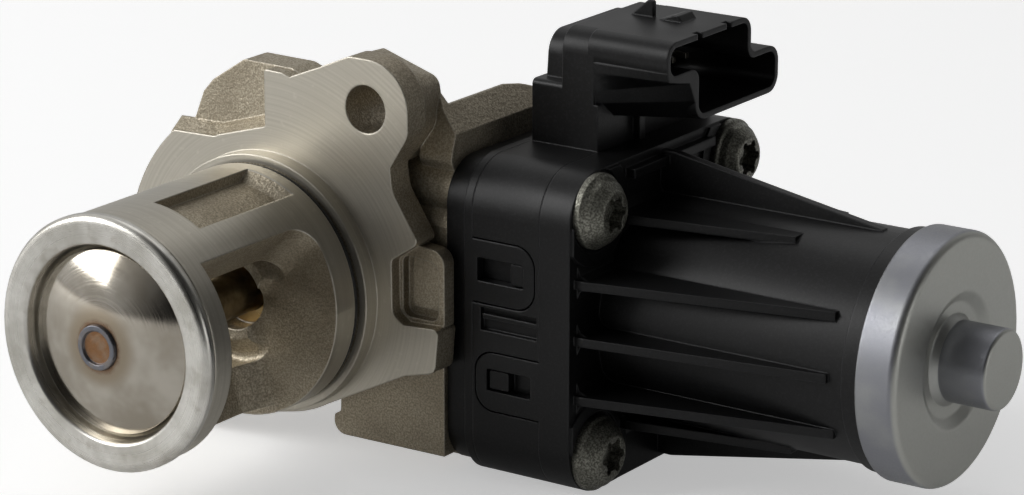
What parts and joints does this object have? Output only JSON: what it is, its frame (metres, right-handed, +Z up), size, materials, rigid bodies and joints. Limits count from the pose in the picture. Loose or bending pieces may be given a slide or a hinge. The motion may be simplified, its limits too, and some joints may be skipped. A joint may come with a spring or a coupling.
{
  "type": "exhaust gas recirculation valve",
  "caption": "Electric poppet valve: a cast nose with gas windows and a bolted flange, driven through gears and a spiral cam by a ribbed motor at right angles, with a keyed plug socket.",
  "frame": {"origin": "where the valve axis crosses the mounting face of the flange", "axes": "-Y along the nose towards the poppet, +X along the motor towards its end cap, +Z up towards the plug socket"},
  "size_m": [0.139, 0.0921, 0.0671],
  "materials": {
    "cast_aluminium": "shot-blasted casting with machined faces",
    "stainless": "satin",
    "steel": "ground",
    "spring_steel": "oiled",
    "zinc_steel": "zinc plated",
    "bronze": "turned",
    "copper": "tinned",
    "rubber": "matt",
    "black_plastic": "glass-filled, satin",
    "gear_plastic": "moulded",
    "magnet": "sintered",
    "board": "coated"
  },
  "bodies": {
    "housing": {"valve_housing": "cast_aluminium", "seat_ring": "stainless", "guide_bush": "bronze", "stem_seal": "rubber", "nose_seal_ring": "rubber", "return_spring": "spring_steel", "shaft_bush": "bronze", "shaft_bearing": "steel", "gear_axle": "steel", "motor_bushes": "bronze", "motor_can": "steel", "field_magnets": "magnet", "end_cap": "zinc_steel", "motor_housing": "black_plastic", "gear_carrier": "black_plastic", "connector_cover": "black_plastic", "contact_pins": "copper", "sensor_board": "board", "cover_screws": "zinc_steel"},
    "valve": {"valve_head": "stainless", "valve_stem": "stainless", "spring_retainer": "steel", "stem_carrier": "steel", "roller_pin": "steel"},
    "roller": {"cam_roller": "steel"},
    "output": {"cam_disc": "steel", "output_shaft": "steel", "output_gear": "gear_plastic", "sensor_magnet": "magnet"},
    "intermediate": {"intermediate_gear": "gear_plastic"},
    "rotor": {"motor_pinion": "steel", "motor_shaft": "steel", "armature": "steel", "commutator": "copper"}
  },
  "joints": [
    {"name": "output_turn", "type": "hinge", "parent": "housing", "child": "output", "pos_m": [0, 0.024, 0], "axis": [1, 0, 0], "range_deg": [0, 140]},
    {"name": "valve_lift", "type": "slide", "parent": "housing", "child": "valve", "axis": [0, -1, 0], "range_m": [0, 0.0065], "deforming": ["return_spring"]},
    {"name": "intermediate_turn", "type": "hinge", "parent": "housing", "child": "intermediate", "pos_m": [0, 0.03974, 0.00063], "axis": [1, 0, 0], "range_deg": [-449, 0]},
    {"name": "motor_turn", "type": "hinge", "parent": "housing", "child": "rotor", "pos_m": [0, 0.0288, -0.002], "axis": [1, 0, 0], "range_deg": [0, 1385]},
    {"name": "roller_spin", "type": "hinge", "parent": "valve", "child": "roller", "pos_m": [0.012, 0.016, 0], "axis": [1, 0, 0], "continuous": true}
  ],
  "couplings": [
    {"joint": "valve_lift", "follows": "output_turn", "m_per_rad": 0.00266},
    {"joint": "intermediate_turn", "follows": "output_turn", "ratio": -3.2},
    {"joint": "motor_turn", "follows": "output_turn", "ratio": 9.8909}
  ]
}
